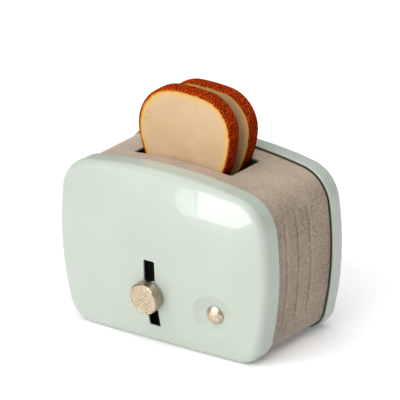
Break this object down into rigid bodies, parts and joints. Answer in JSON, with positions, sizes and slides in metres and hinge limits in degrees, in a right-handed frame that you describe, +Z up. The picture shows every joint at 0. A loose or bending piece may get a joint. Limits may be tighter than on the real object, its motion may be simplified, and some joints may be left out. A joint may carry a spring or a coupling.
{
  "type": "toy toaster",
  "caption": "Small metal toy toaster with domed covers, a slot lever that raises and lowers a bread tray, a fixed stud, and loose slices of toy bread.",
  "frame": {"origin": "on the table, under the middle of the whole toy's box: halfway between the knob's face and the back cover's crown", "axes": "+X to the right seen from the front, +Y to the back (the lever is on the -Y side), +Z up"},
  "size_m": [0.066, 0.0454, 0.0659],
  "materials": {
    "mint_enamel": "glossy baked enamel, pale mint green",
    "speckled_taupe": "fine-grained speckled taupe paint, satin",
    "champagne_metal": "champagne anodised, finely turned",
    "plain_steel": "plain sheet and wire steel",
    "moulded_black": "matt moulded black",
    "white_slider": "waxy natural white",
    "toasted_bread": "painted crumb with a dark red-brown crust"
  },
  "bodies": {
    "toaster_body": {"front_cover": "mint_enamel", "back_cover": "mint_enamel", "body_sleeve": "speckled_taupe", "base_plate": "plain_steel", "base_rivets": "plain_steel", "front_bulkhead": "plain_steel", "rear_bulkhead": "plain_steel", "front_mount_studs": "plain_steel", "rear_mount_studs": "plain_steel", "front_push_nuts": "plain_steel", "rear_push_nuts": "plain_steel", "bread_well": "moulded_black", "dish_stud": "champagne_metal", "stud_washer": "plain_steel"},
    "bread_lift": {"bread_carriage": "moulded_black"},
    "lever": {"lever_knob": "champagne_metal", "lever_stem": "plain_steel", "outer_slide_washer": "white_slider", "inner_slide_washer": "white_slider", "spring_washer": "plain_steel", "stem_collar": "plain_steel"},
    "front_slice": {"front_bread_slice": "toasted_bread"},
    "rear_slice": {"rear_bread_slice": "toasted_bread"}
  },
  "joints": [
    {"name": "lift_slide", "type": "slide", "parent": "toaster_body", "child": "bread_lift", "axis": [0, 0, 1], "range_m": [-0.0076, 0.0076]},
    {"name": "lever_slide", "type": "slide", "parent": "toaster_body", "child": "lever", "axis": [0, -0.1278, 0.9918], "range_m": [-0.0076, 0.0076]},
    {"name": "front_slice_lift", "type": "slide", "parent": "bread_lift", "child": "front_slice", "axis": [0, 0, 1], "range_m": [0, 0.03]},
    {"name": "rear_slice_lift", "type": "slide", "parent": "bread_lift", "child": "rear_slice", "axis": [0, 0, 1], "range_m": [0, 0.03]}
  ],
  "couplings": [
    {"joint": "lever_slide", "follows": "lift_slide", "ratio": 0.99179}
  ]
}
